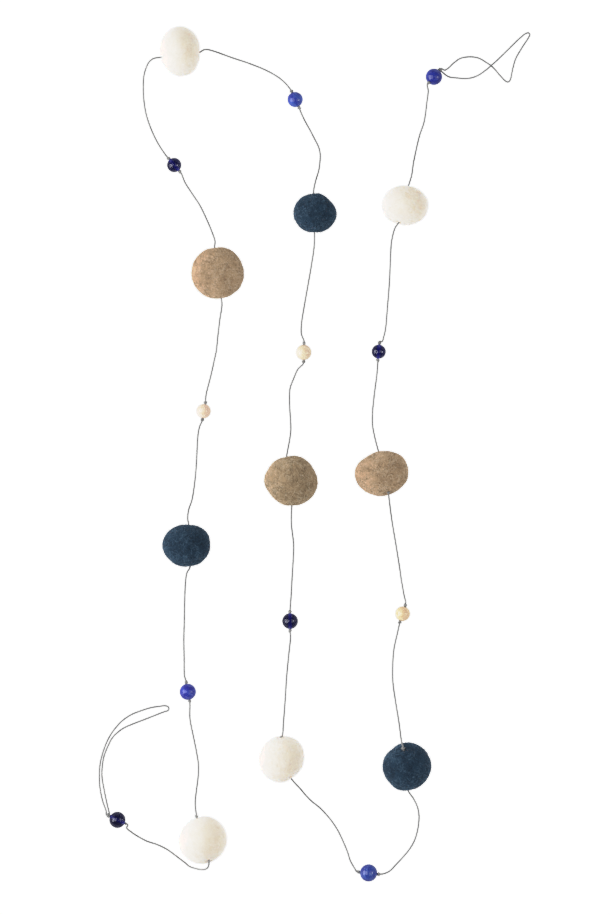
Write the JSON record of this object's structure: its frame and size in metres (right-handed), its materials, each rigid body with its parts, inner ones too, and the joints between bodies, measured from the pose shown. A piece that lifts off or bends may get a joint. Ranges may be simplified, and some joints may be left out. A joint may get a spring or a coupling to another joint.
{
  "type": "felt ball garland",
  "caption": "Decorative garland of hand-rolled wool felt balls and round glass beads strung on a thin knotted cord, with a hanging loop at each end, laid out loosely on a surface.",
  "frame": {"origin": "on the surface that the garland lies on, under the middle of the box of its balls and beads", "axes": "+Y along the longest extent of the laid-out garland, towards the row with the second loop's ball and bead; +Z up from the surface; +X to the right when seen from above with +Y up"},
  "size_m": [0.2812, 0.5556, 0.0318],
  "materials": {
    "felt_white": "matte fuzzy wool",
    "felt_navy": "matte fuzzy wool",
    "felt_tan": "matte fuzzy wool",
    "glass_cobalt": "polished",
    "glass_blue": "polished, milky with streaks",
    "glass_cream": "satin, opaque",
    "cord": "twisted and waxed"
  },
  "bodies": {
    "root": {"ball_01_white": "felt_white", "ball_02_navy": "felt_navy", "ball_03_tan": "felt_tan", "ball_04_white": "felt_white", "ball_05_navy": "felt_navy", "ball_06_tan": "felt_tan", "ball_07_white": "felt_white", "ball_08_navy": "felt_navy", "ball_09_tan": "felt_tan", "ball_10_white": "felt_white", "bead_01_cobalt": "glass_cobalt", "bead_02_blue": "glass_blue", "bead_03_cream": "glass_cream", "bead_04_cobalt": "glass_cobalt", "bead_05_blue": "glass_blue", "bead_06_cream": "glass_cream", "bead_07_cobalt": "glass_cobalt", "bead_08_blue": "glass_blue", "bead_09_cream": "glass_cream", "bead_10_cobalt": "glass_cobalt", "bead_11_blue": "glass_blue", "cord_01": "cord", "cord_02": "cord", "cord_03": "cord", "cord_04": "cord", "cord_05": "cord", "cord_06": "cord", "cord_07": "cord", "cord_08": "cord", "cord_09": "cord", "cord_10": "cord", "cord_loop_a": "cord", "cord_loop_b": "cord"}
  },
  "joints": []
}
